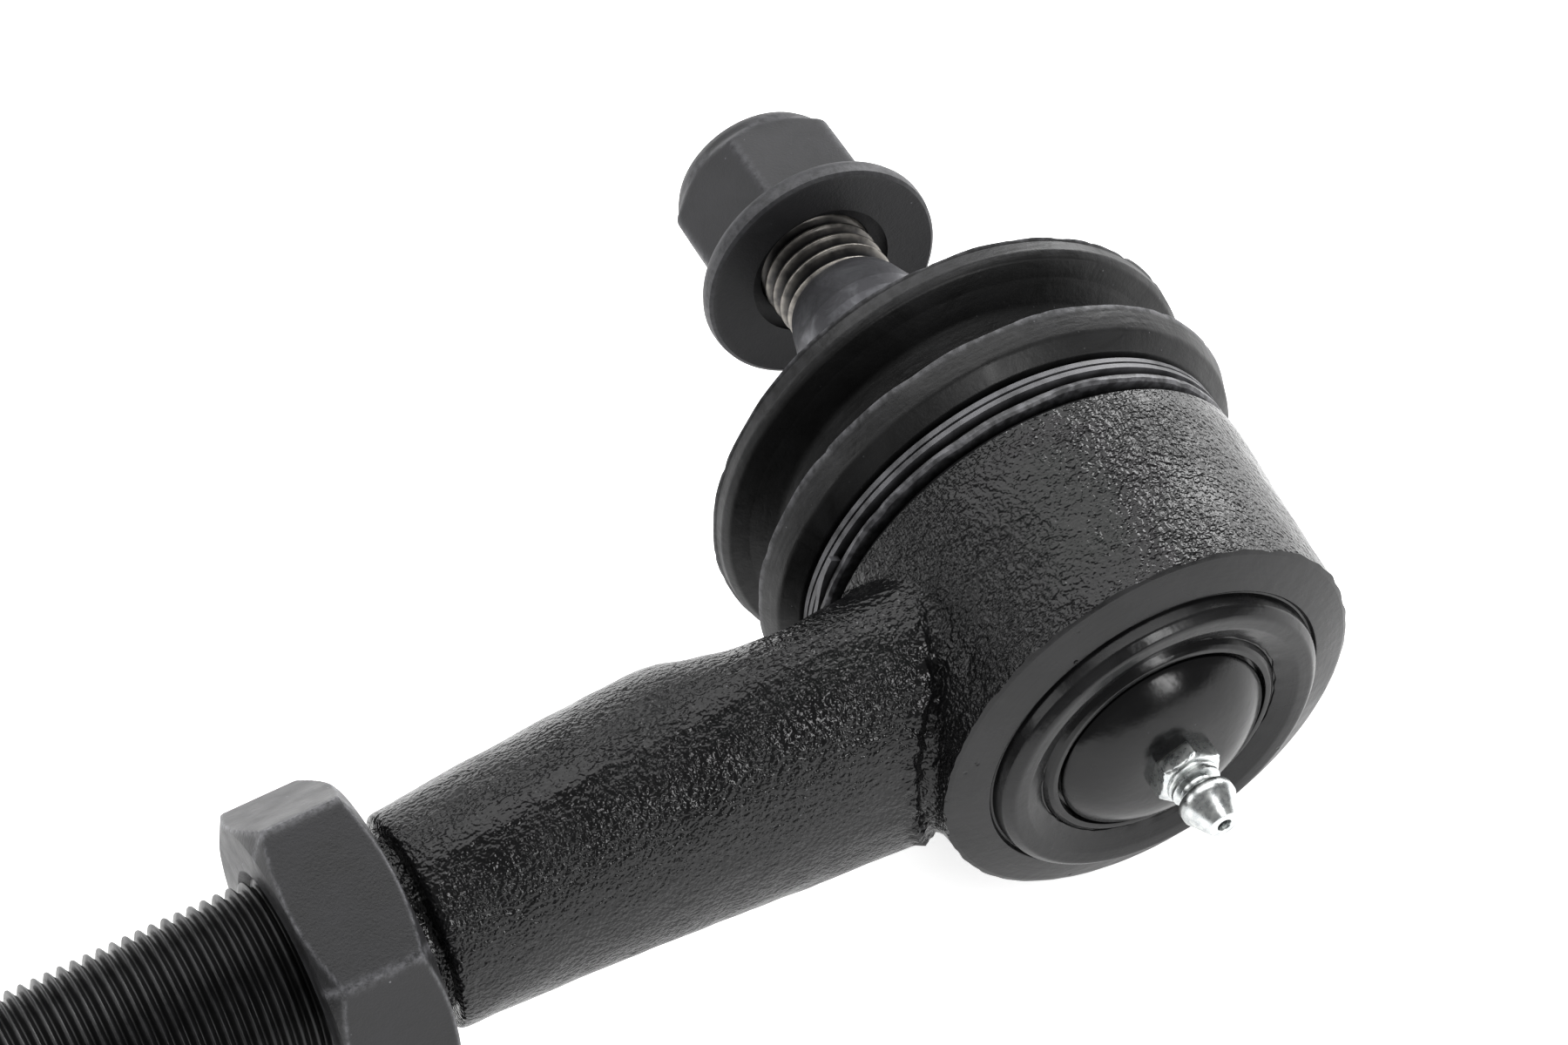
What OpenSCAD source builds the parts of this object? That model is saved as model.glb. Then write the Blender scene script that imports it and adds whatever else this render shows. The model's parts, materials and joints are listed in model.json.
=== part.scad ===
// Outer tie rod end with a greasable ball joint, a rubber dust boot and a
// threaded shank.  Lying position: shank towards -X, ball stud towards +Y.
// The origin is the centre of the ball.

/* [Forged head] */
// Radius of the head below the boot
head_r_top = 26.2; // [24:0.1:32]
// How much smaller the radius is at the closed end
head_draft = 1.3; // [0.2:0.1:3]
// From the ball to the outer edge of the end face
rim_gap = 2.8; // [2.4:0.1:6]
// Distance from the ball centre to the shoulder under the boot
shoulder_y = 7.6; // [6.5:0.1:12]
// Thickness of the ball seats at the ball's middle
seat_wall = 2.5; // [1.5:0.1:4]
// Thickness of the bead seat above the shoulder
seat_h = 4.4; // [3.4:0.1:7]

/* [Arm] */
// Distance from the ball centre to the end face of the arm
arm_len = 80.2; // [66:0.2:110]
// Width of the arm's end face around the shank
arm_face = 1.1; // [0.5:0.1:6]
// Half height of the arm where it is tallest
arm_half_h = 18; // [15:0.5:22]
// Half width of the arm at the swell next to the boot
arm_mid_r = 12.9; // [12:0.1:18]
// Distance from the ball centre to the swell
swell_x = 49; // [45:0.5:56]

/* [Shank thread] */
// Major radius of the shank thread
shank_r = 11; // [8:0.5:14]
// Pitch of the shank thread
shank_pitch = 1.5; // [1:0.25:2.5]
// Length of the threaded shank beyond the arm
shank_len = 80; // [50:1:120]
// Length of the run-out seen past the jam nut
runout_past = 1.4; // [1:0.1:6]

/* [Ball stud] */
// Radius of the ball
ball_r = 14; // [11.5:0.1:17]
// Radius of the stud below the taper
neck_r = 7.5; // [6.5:0.1:8]
// Radius at the large end of the taper
taper_r = 9.8; // [9:0.1:11]
// Distance from the ball centre to the large end of the taper
taper_y = 38; // [36:0.5:46]
// Length of the 1 in 8 taper
taper_len = 10.5; // [9:0.5:24]
// Major radius of the stud thread
stud_r = 7; // [5:0.2:8.4]
// Pitch of the stud thread
stud_pitch = 2; // [1:0.25:2.5]
// Length of the threaded end
stud_thread_len = 26.5; // [24:0.5:34]
// Lean of the stud about the X axis at rest
lean_x = -7; // [-12:0.5:12]
// Lean of the stud about its second axis at rest
lean_z = -2.3; // [-12:0.1:12]

/* [Closing plate] */
// Thickness of the closing plate
plate_t = 2.4; // [1.8:0.1:3]
// Width of the flat land between the rolled lip and the dome
dome_land = 2; // [1.2:0.1:4]
// Height of the dome
dome_h = 3.8; // [2.5:0.1:5]

/* [Dust boot] */
// Wall of the boot
boot_wall = 2; // [1.4:0.1:2.6]
// How far the lower convolution stands out from the bead
boot_low_out = 4.1; // [2.8:0.1:8]
// How far the upper convolution stands out from the bead
boot_top_out = 3.8; // [2:0.1:8]
// How far the waist lies in from the bead
boot_waist_in = 3.2; // [1:0.1:5]
// Length of the boot from bead to neck
boot_h = 32; // [30:0.5:40]

/* [Fasteners] */
// Thickness of the flange nut from its thread to a flat
nut_wall = 3.5; // [3:0.1:6]
// Height of the flange nut
nut_h = 19.6; // [17:0.1:24]
// How far the flange stands out from a flat
flange_out = 4; // [2.5:0.1:7]
// From the start of the stud thread to the nut's bearing face
nut_gap = 7.9; // [4:0.1:12]
// Thickness of the jam nut from its thread to a flat
jam_wall = 6; // [3.5:0.1:9]
// Thickness of the jam nut
jam_h = 12; // [8:0.5:13]
// Gap between the arm and the jam nut
jam_gap = 2.4; // [0.5:0.1:20]

/* [Grease nipple] */
// Radius of the nipple's thread
nipple_r = 3; // [2.5:0.25:4]
// Width of the nipple's seat from its thread to a flat
nipple_seat = 0.5; // [0.4:0.1:1.5]
// Length of the nipple above the plate
nipple_h = 9.2; // [8:0.1:14]

/* [Hidden] */
$fn = 96;
run = 0.05;        // running clearance on radius
gap = 0.3;         // free space between pieces that move apart
ball_clear = 0.05; // between the ball and its seats

head_r_low = head_r_top - head_draft;
rim_y = ball_r + rim_gap;            // outer edge of the end face
socket_r = ball_r + seat_wall;
arm_end_r = shank_r + arm_face;
core_r = shank_r - 0.325 * shank_pitch;  // run-out, at the thread's pitch radius
nut_af = 2 * (stud_r + nut_wall);    // 21 across flats
jam_af = 2 * (shank_r + jam_wall);   // 34 across flats
nipple_af = 2 * (nipple_r + nipple_seat);
flange_r = nut_af / 2 + flange_out;
runout_len = jam_gap + jam_h + runout_past;
head_r_mid = (head_r_low + head_r_top) / 2 - 0.05;
plate_top = rim_y + 2.2;             // outer face of the plate's flange
plate_in = plate_top - plate_t;      // inner face of the plate's flange
plate_r = socket_r + 1;              // counterbore that holds the plate
lip_in = plate_r - 3;                // inner edge of the rolled lip
lip_out = plate_r + 2.4;             // groove at the root of the lip
dome_r = lip_in - dome_land;
land_y = plate_top + 0.8;            // flat land around the dome
crown_y = land_y + dome_h;           // top of the dome
shelf_y = ball_r * 0.4714;           // shoulder that holds the upper seat
mouth_in = sqrt(ball_r * ball_r - shelf_y * shelf_y) + 0.65;  // mouth at the shelf
seat_r = head_r_top - 3;             // groove that the boot's bead sits in
head_top = shoulder_y + 1 + seat_h + 1.4;
mouth_out = mouth_in + (head_top - shelf_y) * 0.42;
taper_small = taper_r - taper_len / 16;
thread_y = taper_y + taper_len + 6;  // start of the stud thread
stud_end = thread_y + stud_thread_len;
nut_y = thread_y + nut_gap;          // bearing face of the nut
neck_y = ball_r + 3;
lock_w = 1.7;                        // width of the nut's locking ring
bead_y = shoulder_y + 1.2;
bead_h = seat_h - 0.5;
bead_r = seat_r + boot_wall;
boot_low_r = bead_r + boot_low_out;
boot_top_r = bead_r + boot_top_out;
boot_waist_r = bead_r - boot_waist_in;
boot_neck_r = taper_r + gap + boot_wall;
boot_top = bead_y + boot_h;
wire_r = 0.6;
jam_x = arm_len + jam_gap;

// Turns a shape made along +Z so that it points along +Y
module along_y() { rotate([-90, 0, 0]) children(); }

// Turns a shape made along +Z so that it points along the shank, -X
module along_shank() { rotate([0, -90, 0]) children(); }

// Leans a shape about the ball centre; share is how much of the rest lean it takes
module lean(share = 1) {
    rotate([lean_x * share, 0, 0]) rotate([0, 0, lean_z * share]) children();
}

module turned(points) { along_y() rotate_extrude() polygon(points); }

// Points of an arc that bulges between two points
function arc(p, q, bulge, n = 8) = [
    for (i = [0 : n]) let (
        t = i / n,
        c = p + (q - p) * t,
        d = q - p,
        k = 4 * bulge * t * (1 - t) / norm(d)
    ) c + [d[1], -d[0]] * k
];

// One round section of the arm: a stadium standing in Z
module arm_section(x, r, y, z) {
    for (s = [-1, 1]) translate([-x, y, s * (z - r)]) along_shank()
        cylinder(r = r, h = 0.4, center = true, $fn = 40);
}

module coil(r0, r1, height, turns, wire, sides = 10, steps = 36) {
    count = round(turns * steps);
    points = [
        for (i = [0 : count]) let (
            t = i / count, a = 360 * turns * t, r = r0 + (r1 - r0) * t
        ) for (j = [0 : sides - 1]) let (b = 360 * j / sides)
            [(r + wire * cos(b)) * cos(a), (r + wire * cos(b)) * sin(a),
             height * t + wire * sin(b)]
    ];
    walls = [
        for (i = [0 : count - 1]) for (j = [0 : sides - 1]) let (
            a = i * sides + j, b = i * sides + (j + 1) % sides
        ) each [[a, b, b + sides], [a, b + sides, a + sides]]
    ];
    first = [for (j = [sides - 1 : -1 : 0]) j];
    last = [for (j = [0 : sides - 1]) count * sides + j];
    polyhedron(points, concat([first], walls, [last]), convexity = 6);
}

module housing() {
    color("#1c1c1e") difference() {
        union() {
            turned(concat(
                [[0, -rim_y - 1.7], [lip_in, -plate_top - 0.4]],
                arc([lip_in, -plate_top - 0.4], [lip_out, -rim_y - 1.7], 1.35),
                [[lip_out + 0.2, -rim_y - 1.4], [head_r_low - 0.5, -rim_y],
                 [head_r_low - 0.1, -rim_y + 0.6], [head_r_low, -rim_y + 1.8],
                 [head_r_mid, -rim_y + 11.8], [head_r_top, shoulder_y - 3],
                 [head_r_top, shoulder_y - 1.2], [head_r_top - 0.6, shoulder_y],
                 [head_r_top - 1.6, shoulder_y + 0.7], [seat_r, shoulder_y + 1],
                 [seat_r, shoulder_y + 1 + seat_h], [seat_r + 0.9, shoulder_y + 1 + seat_h],
                 [seat_r + 0.9, head_top - 0.5], [seat_r + 0.2, head_top], [0, head_top]]));
            hull() {
                arm_section(arm_len - 0.2, arm_end_r, -0.3, arm_end_r + 1.2);
                arm_section(arm_len - 15, arm_end_r + 0.2, -0.1, arm_end_r + 2.6);
            }
            hull() {
                arm_section(arm_len - 15, arm_end_r + 0.2, -0.1, arm_end_r + 2.6);
                arm_section(swell_x, arm_mid_r, 0.1, arm_half_h - 1.4);
            }
            hull() {
                arm_section(swell_x, arm_mid_r, 0.1, arm_half_h - 1.4);
                arm_section(swell_x - 8, arm_mid_r - 2.2, -2, arm_half_h - 0.3);
            }
            hull() {
                arm_section(swell_x - 8, arm_mid_r - 2.2, -2, arm_half_h - 0.3);
                arm_section(33, arm_mid_r - 2.4, -3.2, arm_half_h);
            }
            hull() {
                arm_section(33, arm_mid_r - 2.4, -3.2, arm_half_h);
                arm_section(16, arm_mid_r - 0.6, -3.4, arm_half_h);
            }
            translate([-arm_len + 2, 0, 0]) along_shank()
                cylinder(r = core_r, h = runout_len + 2.1);
            translate([-arm_len - runout_len, 0, 0]) along_shank()
                rotate_extrude() polygon([[0, 0], [shank_r, 0],
                    [shank_r, shank_len - runout_len - 1.2],
                    [shank_r - 1.2, shank_len - runout_len], [0, shank_len - runout_len]]);
        }
        turned([[0, -plate_top - 3], [lip_in, -plate_top - 3], [lip_in, -plate_top],
            [plate_r, -plate_top], [plate_r, -plate_in], [socket_r, -plate_in],
            [socket_r, shelf_y], [mouth_in, shelf_y], [mouth_out, head_top],
            [mouth_out, head_top + 1], [0, head_top + 1]]);
    }
}

module closing_plate() {
    color("#222224") turned(concat(
        [[nipple_r, -plate_in], [plate_r, -plate_in], [plate_r, -plate_top],
         [lip_in - 0.2, -plate_top], [lip_in - 0.6, -land_y + 0.2], [dome_r + 0.3, -land_y]],
        arc([dome_r, -land_y - 0.1], [4.4, -crown_y], -0.75),
        [[nipple_r, -crown_y], [nipple_r, -crown_y + plate_t]],
        arc([4.4, -crown_y + plate_t], [dome_r - 1.6, -plate_in - 0.6], 0.6, 5),
        [[dome_r - 1.2, -plate_in - 0.1]]));
}

module preload_spring() {
    color("#8a8c90") turned([[7.6, -ball_r + 0.8], [socket_r - 1, -plate_in + 1.2],
        [socket_r - 1.2, -plate_in], [7.3, -ball_r - 0.5]]);
}

module lower_ball_seat() {
    color("#b9b4a4") difference() {
        turned([[0, -ball_r + 1], [socket_r, -ball_r + 1], [socket_r, -1], [0, -1]]);
        sphere(r = ball_r + ball_clear);
    }
}

module upper_ball_seat() {
    color("#b9b4a4") difference() {
        turned([[0, 0], [socket_r, 0], [socket_r, shelf_y], [0, shelf_y]]);
        sphere(r = ball_r + ball_clear);
    }
}

module ball_stud() {
    color("#5b5c60") lean() union() {
        difference() {
            sphere(r = ball_r);
            translate([0, -ball_r, 0]) cube([ball_r, 1.6, ball_r], center = true);
        }
        turned([[0, 0], [neck_r, 0], [neck_r, neck_y], [taper_r - 0.6, taper_y - 2],
            [taper_r, taper_y], [taper_small, taper_y + taper_len],
            [stud_r + 0.4, thread_y - 1.2], [stud_r - 0.4, thread_y - 0.9],
            [stud_r - 0.4, thread_y], [stud_r, thread_y + 0.4],
            [stud_r, stud_end - 1.2], [stud_r - 1.2, stud_end], [0, stud_end]]);
    }
}

module dust_boot() {
    color("#141415") union() {
        // bead and lower convolution, square to the housing
        turned([[seat_r + gap, bead_y], [bead_r - 0.3, bead_y], [bead_r - 0.3, bead_y + bead_h],
            [boot_low_r - 1.1, bead_y + bead_h + 1], [boot_low_r, bead_y + bead_h + 3.3],
            [boot_low_r - 0.7, bead_y + bead_h + 5.2], [boot_waist_r, bead_y + bead_h + 9],
            [boot_waist_r, bead_y + bead_h + 10.6],
            [boot_waist_r - boot_wall, bead_y + bead_h + 10.6],
            [boot_waist_r - boot_wall, bead_y + bead_h + 8.4],
            [boot_low_r - boot_wall - 1, bead_y + bead_h + 4.2],
            [boot_low_r - boot_wall - 0.6, bead_y + bead_h + 3],
            [boot_low_r - boot_wall - 1.8, bead_y + bead_h + 2.2],
            [seat_r + 1.6, bead_y + bead_h + 1.8], [seat_r + 1.6, bead_y + bead_h + 0.2],
            [seat_r + gap, bead_y + bead_h - 0.4]]);
        // upper convolution, leaning half way
        lean(0.5) turned([[boot_waist_r, bead_y + bead_h + 9.4],
            [boot_waist_r, bead_y + bead_h + 10.6], [boot_top_r - 0.8, bead_y + bead_h + 13.6],
            [boot_top_r, bead_y + bead_h + 15.4], [boot_top_r - 0.5, bead_y + bead_h + 17.2],
            [boot_top_r - 3, bead_y + bead_h + 18.6], [boot_neck_r + 2, boot_top - 5.4],
            [boot_neck_r + 2, boot_top - 5.4 - boot_wall],
            [boot_top_r - 3.4, bead_y + bead_h + 16.4],
            [boot_top_r - boot_wall, bead_y + bead_h + 15.3],
            [boot_top_r - boot_wall - 0.8, bead_y + bead_h + 14.6],
            [boot_waist_r - boot_wall, bead_y + bead_h + 11.4],
            [boot_waist_r - boot_wall, bead_y + bead_h + 9.4]]);
        // neck, square to the stud
        lean() turned([[taper_r + gap, boot_top], [boot_neck_r, boot_top],
            [boot_neck_r, boot_top - 5], [boot_neck_r + 6.5, boot_top - 6.4],
            [boot_neck_r + 6.5, boot_top - 6.4 - boot_wall],
            [taper_r + gap, boot_top - 5.6 - boot_wall]]);
    }
}

module boot_clamp_wire() {
    color("#3a3a3c") translate([0, bead_y + 0.4, 0]) along_y() rotate([0, 0, 118])
        coil(bead_r + wire_r, bead_r + wire_r, 2 * (2 * wire_r + 0.06), 2.1, wire_r);
}

module boot_neck_ring() {
    color("#3a3a3c") lean() translate([0, boot_top - 2.2, 0]) along_y()
        rotate_extrude() translate([boot_neck_r + gap + 0.8, 0]) circle(r = 0.8, $fn = 24);
}

module nut_hex() {
    intersection() {
        translate([0, 0, 1]) rotate([0, 0, 17]) cylinder(r = nut_af / sqrt(3), h = nut_h - 1, $fn = 6);
        rotate_extrude() polygon([[0, 0], [nut_af, 0], [nut_af, nut_h - 6],
            [nut_af / 2 + 1.4, nut_h - 4.2], [nut_af / 2 - 0.1, nut_h - 2.9],
            [nut_af / 2 - 1, nut_h - 0.9], [nut_af / 2 - 2, nut_h], [0, nut_h]]);
    }
}

module flange_nut() {
    color("#3c3d40") lean() translate([0, nut_y, 0]) along_y() difference() {
        union() {
            nut_hex();
            rotate_extrude() polygon([[0, 0.5], [stud_r + 1.4, 0.5], [flange_r - 0.5, 0],
                [flange_r - 0.05, 0.8], [flange_r, 2.1], [flange_r - 0.6, 2.9],
                [nut_af / 2 + 0.4, 4.3], [0, 4.3]]);
        }
        cylinder(r = stud_r + run, h = 3 * nut_h, center = true);
        translate([0, 0, -1]) cylinder(r1 = stud_r + 2.4, r2 = stud_r, h = 2.4);
        translate([0, 0, nut_h - 4.6]) cylinder(r = stud_r + lock_w, h = 3);
        translate([0, 0, nut_h - 1.7]) cylinder(r = stud_r + 0.9, h = 3);
    }
}

module nut_locking_ring() {
    color("#d9d4c2") lean() translate([0, nut_y + nut_h - 4.6, 0]) along_y() difference() {
        cylinder(r = stud_r + lock_w - run, h = 3);
        translate([0, 0, -1]) cylinder(r = stud_r + run, h = 5);
    }
}

module jam_nut() {
    corner = jam_af / sqrt(3);
    face_r = jam_af / 2 - 0.2;
    chamfer = (corner + 1 - face_r) * tan(25);
    color("#4a4b4e") translate([-jam_x, 0, 0]) along_shank() difference() {
        intersection() {
            rotate([0, 0, 15]) cylinder(r = corner, h = jam_h, $fn = 6);
            rotate_extrude() polygon([[0, 0], [face_r, 0], [corner + 1, chamfer],
                [corner + 1, jam_h - chamfer], [face_r, jam_h], [0, jam_h]]);
        }
        translate([0, 0, -1]) cylinder(r = shank_r + run, h = jam_h + 2);
        translate([0, 0, -0.01]) cylinder(r1 = shank_r + 1, r2 = shank_r, h = 1);
        translate([0, 0, jam_h - 0.99]) cylinder(r1 = shank_r, r2 = shank_r + 1, h = 1);
    }
}

module grease_nipple() {
    tip = crown_y + nipple_h;
    color("#b8bcc0") difference() {
        union() {
            turned([[0, -crown_y + plate_t + 0.6], [nipple_r, -crown_y + plate_t + 0.6],
                [nipple_r, -crown_y], [nipple_af / 2 - 0.3, -crown_y], [nipple_af / 2 - 0.3, -tip + 5],
                [2.2, -tip + 5], [2.2, -tip + 4.4], [3.25, -tip + 3.6], [3.25, -tip + 2.9],
                [1.7, -tip], [0, -tip]]);
            translate([0, -crown_y - 0.2, 0]) rotate([90, 0, 0]) intersection() {
                rotate([0, 0, 20]) cylinder(r = nipple_af / sqrt(3), h = nipple_h - 5.4, $fn = 6);
                cylinder(r = nipple_af / 2 + 0.3, h = nipple_h - 5.4);
            }
        }
        turned([[0, -crown_y + 4], [1.35, -crown_y + 4], [1.35, -tip + 1.7],
            [0.75, -tip + 1], [0.75, -tip - 1], [0, -tip - 1]]);
    }
}

module nipple_check_ball() {
    color("#d0d2d4") translate([0, -crown_y - nipple_h + 2.35, 0]) sphere(r = 1.2);
}

module nipple_spring() {
    color("#9c9ea2") translate([0, -crown_y - nipple_h + 3.9, 0]) along_y()
        coil(1, 1, 4.6, 5, 0.18, 8, 14);
}

housing();
closing_plate();
preload_spring();
lower_ball_seat();
upper_ball_seat();
ball_stud();
dust_boot();
boot_clamp_wire();
boot_neck_ring();
flange_nut();
nut_locking_ring();
jam_nut();
grease_nipple();
nipple_check_ball();
nipple_spring();
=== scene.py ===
import json
import math
import bmesh
import bpy
from mathutils import Matrix, Vector, noise
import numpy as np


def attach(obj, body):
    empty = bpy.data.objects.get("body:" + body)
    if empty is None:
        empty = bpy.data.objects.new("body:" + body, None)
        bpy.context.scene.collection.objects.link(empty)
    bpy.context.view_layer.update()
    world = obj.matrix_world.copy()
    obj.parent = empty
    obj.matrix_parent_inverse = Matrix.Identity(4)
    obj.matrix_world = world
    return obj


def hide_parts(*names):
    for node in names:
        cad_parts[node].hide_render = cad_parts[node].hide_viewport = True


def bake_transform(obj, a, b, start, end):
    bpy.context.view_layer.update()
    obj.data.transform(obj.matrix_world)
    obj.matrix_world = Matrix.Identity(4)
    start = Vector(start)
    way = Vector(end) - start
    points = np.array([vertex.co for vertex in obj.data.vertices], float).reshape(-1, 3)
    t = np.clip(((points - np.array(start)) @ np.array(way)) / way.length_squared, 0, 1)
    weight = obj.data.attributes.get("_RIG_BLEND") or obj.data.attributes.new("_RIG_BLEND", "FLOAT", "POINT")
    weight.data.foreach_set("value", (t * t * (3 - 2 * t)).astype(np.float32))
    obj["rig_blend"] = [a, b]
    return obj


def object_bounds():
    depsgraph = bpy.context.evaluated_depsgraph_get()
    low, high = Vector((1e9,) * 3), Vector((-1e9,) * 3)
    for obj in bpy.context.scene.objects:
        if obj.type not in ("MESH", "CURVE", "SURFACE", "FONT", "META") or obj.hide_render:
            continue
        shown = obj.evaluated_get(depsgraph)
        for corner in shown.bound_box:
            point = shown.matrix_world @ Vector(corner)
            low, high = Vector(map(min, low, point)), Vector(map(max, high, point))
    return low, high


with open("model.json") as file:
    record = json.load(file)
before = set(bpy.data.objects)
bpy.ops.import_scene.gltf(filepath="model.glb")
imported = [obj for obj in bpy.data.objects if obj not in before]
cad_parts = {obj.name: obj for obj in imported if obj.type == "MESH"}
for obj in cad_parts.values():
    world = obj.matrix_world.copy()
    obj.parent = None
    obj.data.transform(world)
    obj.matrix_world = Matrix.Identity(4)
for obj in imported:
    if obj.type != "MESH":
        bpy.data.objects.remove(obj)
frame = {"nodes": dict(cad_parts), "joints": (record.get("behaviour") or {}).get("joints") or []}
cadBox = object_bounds()
mm = 0.001  # shapes are worked out in millimetres and scaled once, in makePiece

studAxis = Vector(next(j["axis"] for j in frame["joints"] if j["name"] == "stud_spin")).normalized()
leanX = math.atan2(studAxis.z, studAxis.y)
leanZ = -math.asin(studAxis.x)


def leanMatrix(share=1.0):
    return Matrix.Rotation(leanX * share, 4, "X") @ Matrix.Rotation(leanZ * share, 4, "Z")


def smooth(low, high, value):
    t = min(1.0, max(0.0, (value - low) / (high - low)))
    return t * t * (3 - 2 * t)


def between(table, value):
    # reads a small table of (position, value, value, ...) rows, eased a little at each row
    if value <= table[0][0]:
        return table[0][1:]
    for low, high in zip(table, table[1:]):
        if value <= high[0]:
            t = smooth(low[0], high[0], value) * 0.5 + 0.5 * (value - low[0]) / (high[0] - low[0])
            return [a + (b - a) * t for a, b in zip(low[1:], high[1:])]
    return table[-1][1:]


def rounded(points, steps=4):
    # rounds a closed outline; each point is (radius, height) or (radius, height, fillet)
    out = []
    for i, point in enumerate(points):
        here = Vector(point[:2])
        fillet = point[2] if len(point) > 2 else 0
        if not fillet:
            out.append(here)
            continue
        back = Vector(points[i - 1][:2]) - here
        ahead = Vector(points[(i + 1) % len(points)][:2]) - here
        cut = min(fillet / math.tan(back.angle(ahead) / 2), 0.48 * back.length, 0.48 * ahead.length)
        first = here + back.normalized() * cut
        last = here + ahead.normalized() * cut
        for s in range(steps + 1):
            t = s / steps
            out.append(first * (1 - t) ** 2 + here * 2 * t * (1 - t) + last * t * t)
    return out


def arcBetween(start, end, bulge, steps):
    # a shallow arc that stands bulge millimetres off the straight line at its middle
    start = Vector(start)
    end = Vector(end)
    side = Vector((end.y - start.y, start.x - end.x)).normalized()
    return [tuple(start.lerp(end, i / steps) + side * bulge * 4 * (i / steps) * (1 - i / steps))
            for i in range(steps + 1)]


def turn(bm, profileAt, steps, material=0):
    # a closed outline of (radius, height) or (radius, height, wear) turned about Y;
    # profileAt(angle) lets it change on the way
    wear_and_sheen = bm.verts.layers.float["wear_and_sheen"]
    rings = []
    for i in range(steps):
        angle = 2 * math.pi * i / steps
        ring = []
        for point in profileAt(angle):
            radius = max(point[0], 0.0)
            ring.append(bm.verts.new((radius * math.cos(angle), point[1], radius * math.sin(angle))))
            if len(point) > 2:
                ring[-1][wear_and_sheen] = point[2]
        rings.append(ring)
    count = len(rings[0])
    for i in range(steps):
        here = rings[i]
        there = rings[(i + 1) % steps]
        for k in range(count):
            n = (k + 1) % count
            face = bm.faces.new((here[k], here[n], there[n], there[k]))
            face.material_index = material


def sweep(bm, stations, section):
    # section(station) gives the ring of points at a station; both ends are closed
    rings = [[bm.verts.new(point) for point in section(station)] for station in stations]
    count = len(rings[0])
    for a, b in zip(rings, rings[1:]):
        for k in range(count):
            n = (k + 1) % count
            bm.faces.new((a[k], a[n], b[n], b[k]))
    for ring in (rings[0], rings[-1]):
        bm.faces.new(ring)


threadForm = [(-0.09, 0.06), (0.0, 0.0), (0.09, 0.06), (0.2, 0.36), (0.33, 0.76), (0.43, 1.0),
              (0.57, 1.0), (0.67, 0.76), (0.8, 0.36)]  # place along one pitch, share of the depth


def addThread(bm, size, material, steps):
    # a true helix about Y: the grid is sheared by one pitch a turn, so crests follow its edges
    wear_and_sheen = bm.verts.layers.float["wear_and_sheen"]
    depth = 0.61 * size["pitch"]
    turns = math.ceil((size["end"] - size["start"]) / size["pitch"]) + 2
    columns = [(t + form[0], form[1]) for t in range(turns) for form in threadForm]
    per = len(threadForm)
    grid = []
    for i in range(steps):
        angle = 2 * math.pi * i / steps
        row = []
        for along, share in columns:
            y = size["start"] + (along - 1 + i / steps) * size["pitch"]
            y = min(max(y, size["start"]), size["end"])
            fade = smooth(size["start"], size["start"] + size["fade"], y)
            radius = size["radius"] - depth * (share * fade + 0.55 * (1 - fade))
            radius = min(radius, size["radius"] - size["chamfer"] + (size["end"] - y))
            vert = bm.verts.new((radius * math.cos(angle), y, radius * math.sin(angle)))
            vert[wear_and_sheen] = (1 - share) ** 2 if y < size["end"] - 0.05 else 0.2
            row.append(vert)
        grid.append(row)
    for i in range(steps):
        shift = per if i == steps - 1 else 0
        there = grid[(i + 1) % steps]
        for k in range(len(columns) - 1 - shift):
            quad = (grid[i][k], grid[i][k + 1], there[k + 1 + shift], there[k + shift])
            bm.faces.new(quad).material_index = material
    for column, y in ((0, size["start"]), (len(columns) - 1, size["end"])):
        middle = bm.verts.new((0, y, 0))
        for i in range(steps):
            a = grid[i][column]
            b = grid[(i + 1) % steps][column]
            bm.faces.new((a, b, middle)).material_index = material


def newBmesh():
    # its points carry how much they are rubbed, and on the boot's ridge shoulders a painted highlight, which the
    # materials read
    bm = bmesh.new()
    bm.verts.layers.float.new("wear_and_sheen")
    return bm


def markSharp(mesh, crease):
    # smooth shading, split at edges that turn by more than crease degrees
    bm = bmesh.new()
    bm.from_mesh(mesh)
    for edge in bm.edges:
        edge.smooth = not (len(edge.link_faces) == 2 and edge.calc_face_angle(0) > math.radians(crease))
    for face in bm.faces:
        face.smooth = True
    bm.to_mesh(mesh)
    bm.free()


def makePiece(name, bm, materials, crease=32, moved=Matrix.Identity(4)):
    bmesh.ops.remove_doubles(bm, verts=bm.verts, dist=0.002)
    bmesh.ops.recalc_face_normals(bm, faces=bm.faces)
    bmesh.ops.transform(bm, matrix=moved, verts=bm.verts)
    bmesh.ops.scale(bm, vec=(mm, mm, mm), verts=bm.verts)
    mesh = bpy.data.meshes.new(name)
    bm.to_mesh(mesh)
    bm.free()
    markSharp(mesh, crease)
    for material in materials:
        mesh.materials.append(material)
    piece = bpy.data.objects.new(name, mesh)
    bpy.context.scene.collection.objects.link(piece)
    return piece


def place(piece, body, node):
    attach(piece, body)
    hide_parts(node)
    print("made", piece.name, len(piece.data.polygons))


def applied(piece):
    # the mesh with its modifiers in it
    graph = bpy.context.evaluated_depsgraph_get()
    mesh = bpy.data.meshes.new_from_object(piece.evaluated_get(graph))
    piece.modifiers.clear()
    old = piece.data
    piece.data = mesh
    bpy.data.meshes.remove(old)


def cutBy(piece, cutter):
    cut = piece.modifiers.new("cut", "BOOLEAN")
    cut.operation = "DIFFERENCE"
    cut.solver = "MANIFOLD"
    cut.object = cutter
    applied(piece)
    bpy.data.objects.remove(cutter)


def hexColour(code):
    parts = [int(code[i:i + 2], 16) / 255 for i in (1, 3, 5)]
    return tuple(p / 12.92 if p <= 0.04045 else ((p + 0.055) / 1.055) ** 2.4 for p in parts) + (1.0,)


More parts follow.
